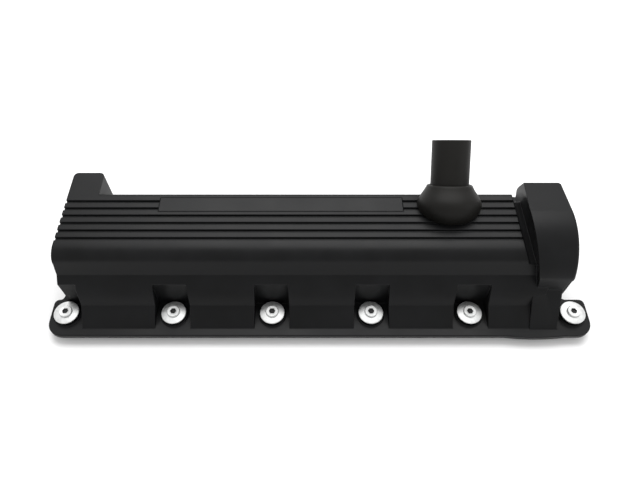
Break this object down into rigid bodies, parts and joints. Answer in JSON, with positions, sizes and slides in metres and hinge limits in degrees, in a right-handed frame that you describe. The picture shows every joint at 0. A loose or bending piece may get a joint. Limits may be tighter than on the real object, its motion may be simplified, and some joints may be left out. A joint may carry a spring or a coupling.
{
  "type": "valve cover",
  "caption": "Ribbed valve cover for one bank of an overhead-cam V engine, with captive bolts, gasket, oil baffle, breather port and tilted oil filler neck.",
  "frame": {"origin": "under the middle of the flange, at the tips of the bolts; the sealing face is 7.4 mm above it", "axes": "+X along the engine towards the sprocket housing, +Y towards the filler tube's open end, +Z out of the ribbed deck"},
  "size_m": [0.55, 0.1798, 0.1393],
  "materials": {
    "satin_black": "satin moulded nylon",
    "neck_black": "satin moulded nylon, slightly warmer",
    "black_rubber": "dull rubber",
    "gasket_rubber": "dull rubber",
    "bright_zinc": "bright zinc plate",
    "plain_steel": "plain steel",
    "sheet_steel": "rolled sheet"
  },
  "bodies": {
    "cover": {"cover_shell": "satin_black", "cover_gasket": "gasket_rubber", "filler_elbow": "neck_black", "filler_tube": "neck_black", "filler_elbow_seal": "black_rubber", "oil_baffle": "sheet_steel", "breather_grommet": "black_rubber", "baffle_screw_1": "plain_steel", "baffle_screw_2": "plain_steel", "baffle_screw_3": "plain_steel", "baffle_screw_4": "plain_steel", "bolt_isolator_1": "black_rubber", "bolt_isolator_2": "black_rubber", "bolt_isolator_3": "black_rubber", "bolt_isolator_4": "black_rubber", "bolt_isolator_5": "black_rubber", "bolt_isolator_6": "black_rubber", "bolt_isolator_7": "black_rubber", "bolt_isolator_8": "black_rubber", "bolt_isolator_9": "black_rubber", "bolt_isolator_10": "black_rubber", "bolt_isolator_11": "black_rubber", "bolt_isolator_12": "black_rubber", "bolt_sleeve_1": "plain_steel", "bolt_sleeve_2": "plain_steel", "bolt_sleeve_3": "plain_steel", "bolt_sleeve_4": "plain_steel", "bolt_sleeve_5": "plain_steel", "bolt_sleeve_6": "plain_steel", "bolt_sleeve_7": "plain_steel", "bolt_sleeve_8": "plain_steel", "bolt_sleeve_9": "plain_steel", "bolt_sleeve_10": "plain_steel", "bolt_sleeve_11": "plain_steel", "bolt_sleeve_12": "plain_steel"},
    "washer_1": {"bolt_washer_1": "bright_zinc"},
    "screw_1": {"bolt_1": "bright_zinc"},
    "washer_2": {"bolt_washer_2": "bright_zinc"},
    "screw_2": {"bolt_2": "bright_zinc"},
    "washer_3": {"bolt_washer_3": "bright_zinc"},
    "screw_3": {"bolt_3": "bright_zinc"},
    "washer_4": {"bolt_washer_4": "bright_zinc"},
    "screw_4": {"bolt_4": "bright_zinc"},
    "washer_5": {"bolt_washer_5": "bright_zinc"},
    "screw_5": {"bolt_5": "bright_zinc"},
    "washer_6": {"bolt_washer_6": "bright_zinc"},
    "screw_6": {"bolt_6": "bright_zinc"},
    "washer_7": {"bolt_washer_7": "bright_zinc"},
    "screw_7": {"bolt_7": "bright_zinc"},
    "washer_8": {"bolt_washer_8": "bright_zinc"},
    "screw_8": {"bolt_8": "bright_zinc"},
    "washer_9": {"bolt_washer_9": "bright_zinc"},
    "screw_9": {"bolt_9": "bright_zinc"},
    "washer_10": {"bolt_washer_10": "bright_zinc"},
    "screw_10": {"bolt_10": "bright_zinc"},
    "washer_11": {"bolt_washer_11": "bright_zinc"},
    "screw_11": {"bolt_11": "bright_zinc"},
    "washer_12": {"bolt_washer_12": "bright_zinc"},
    "screw_12": {"bolt_12": "bright_zinc"}
  },
  "joints": [
    {"name": "washer_lift_1", "type": "slide", "parent": "cover", "child": "washer_1", "axis": [0, 0, 1], "range_m": [0, 0.008]},
    {"name": "bolt_turn_1", "type": "hinge", "parent": "washer_1", "child": "screw_1", "pos_m": [-0.257, -0.065, 0.0074], "axis": [0, 0, 1], "range_deg": [0, 2893]},
    {"name": "washer_lift_2", "type": "slide", "parent": "cover", "child": "washer_2", "axis": [0, 0, 1], "range_m": [0, 0.008]},
    {"name": "bolt_turn_2", "type": "hinge", "parent": "washer_2", "child": "screw_2", "pos_m": [-0.148, -0.065, 0.0074], "axis": [0, 0, 1], "range_deg": [0, 2893]},
    {"name": "washer_lift_3", "type": "slide", "parent": "cover", "child": "washer_3", "axis": [0, 0, 1], "range_m": [0, 0.008]},
    {"name": "bolt_turn_3", "type": "hinge", "parent": "washer_3", "child": "screw_3", "pos_m": [-0.048, -0.065, 0.0074], "axis": [0, 0, 1], "range_deg": [0, 2893]},
    {"name": "washer_lift_4", "type": "slide", "parent": "cover", "child": "washer_4", "axis": [0, 0, 1], "range_m": [0, 0.008]},
    {"name": "bolt_turn_4", "type": "hinge", "parent": "washer_4", "child": "screw_4", "pos_m": [0.052, -0.065, 0.0074], "axis": [0, 0, 1], "range_deg": [0, 2893]},
    {"name": "washer_lift_5", "type": "slide", "parent": "cover", "child": "washer_5", "axis": [0, 0, 1], "range_m": [0, 0.008]},
    {"name": "bolt_turn_5", "type": "hinge", "parent": "washer_5", "child": "screw_5", "pos_m": [0.152, -0.065, 0.0074], "axis": [0, 0, 1], "range_deg": [0, 2893]},
    {"name": "washer_lift_6", "type": "slide", "parent": "cover", "child": "washer_6", "axis": [0, 0, 1], "range_m": [0, 0.008]},
    {"name": "bolt_turn_6", "type": "hinge", "parent": "washer_6", "child": "screw_6", "pos_m": [0.257, -0.065, 0.0074], "axis": [0, 0, 1], "range_deg": [0, 2893]},
    {"name": "washer_lift_7", "type": "slide", "parent": "cover", "child": "washer_7", "axis": [0, 0, 1], "range_m": [0, 0.008]},
    {"name": "bolt_turn_7", "type": "hinge", "parent": "washer_7", "child": "screw_7", "pos_m": [-0.205, 0.069, 0.0074], "axis": [0, 0, 1], "range_deg": [0, 2893]},
    {"name": "washer_lift_8", "type": "slide", "parent": "cover", "child": "washer_8", "axis": [0, 0, 1], "range_m": [0, 0.008]},
    {"name": "bolt_turn_8", "type": "hinge", "parent": "washer_8", "child": "screw_8", "pos_m": [-0.107, 0.069, 0.0074], "axis": [0, 0, 1], "range_deg": [0, 2893]},
    {"name": "washer_lift_9", "type": "slide", "parent": "cover", "child": "washer_9", "axis": [0, 0, 1], "range_m": [0, 0.008]},
    {"name": "bolt_turn_9", "type": "hinge", "parent": "washer_9", "child": "screw_9", "pos_m": [-0.009, 0.069, 0.0074], "axis": [0, 0, 1], "range_deg": [0, 2893]},
    {"name": "washer_lift_10", "type": "slide", "parent": "cover", "child": "washer_10", "axis": [0, 0, 1], "range_m": [0, 0.008]},
    {"name": "bolt_turn_10", "type": "hinge", "parent": "washer_10", "child": "screw_10", "pos_m": [0.089, 0.069, 0.0074], "axis": [0, 0, 1], "range_deg": [0, 2893]},
    {"name": "washer_lift_11", "type": "slide", "parent": "cover", "child": "washer_11", "axis": [0, 0, 1], "range_m": [0, 0.008]},
    {"name": "bolt_turn_11", "type": "hinge", "parent": "washer_11", "child": "screw_11", "pos_m": [0.187, 0.069, 0.0074], "axis": [0, 0, 1], "range_deg": [0, 2893]},
    {"name": "washer_lift_12", "type": "slide", "parent": "cover", "child": "washer_12", "axis": [0, 0, 1], "range_m": [0, 0.008]},
    {"name": "bolt_turn_12", "type": "hinge", "parent": "washer_12", "child": "screw_12", "pos_m": [0.257, 0.069, 0.0074], "axis": [0, 0, 1], "range_deg": [0, 2893]}
  ],
  "couplings": [
    {"joint": "bolt_turn_1", "follows": "washer_lift_1", "rad_per_m": 6283.2},
    {"joint": "bolt_turn_2", "follows": "washer_lift_2", "rad_per_m": 6283.2},
    {"joint": "bolt_turn_3", "follows": "washer_lift_3", "rad_per_m": 6283.2},
    {"joint": "bolt_turn_4", "follows": "washer_lift_4", "rad_per_m": 6283.2},
    {"joint": "bolt_turn_5", "follows": "washer_lift_5", "rad_per_m": 6283.2},
    {"joint": "bolt_turn_6", "follows": "washer_lift_6", "rad_per_m": 6283.2},
    {"joint": "bolt_turn_7", "follows": "washer_lift_7", "rad_per_m": 6283.2},
    {"joint": "bolt_turn_8", "follows": "washer_lift_8", "rad_per_m": 6283.2},
    {"joint": "bolt_turn_9", "follows": "washer_lift_9", "rad_per_m": 6283.2},
    {"joint": "bolt_turn_10", "follows": "washer_lift_10", "rad_per_m": 6283.2},
    {"joint": "bolt_turn_11", "follows": "washer_lift_11", "rad_per_m": 6283.2},
    {"joint": "bolt_turn_12", "follows": "washer_lift_12", "rad_per_m": 6283.2}
  ]
}
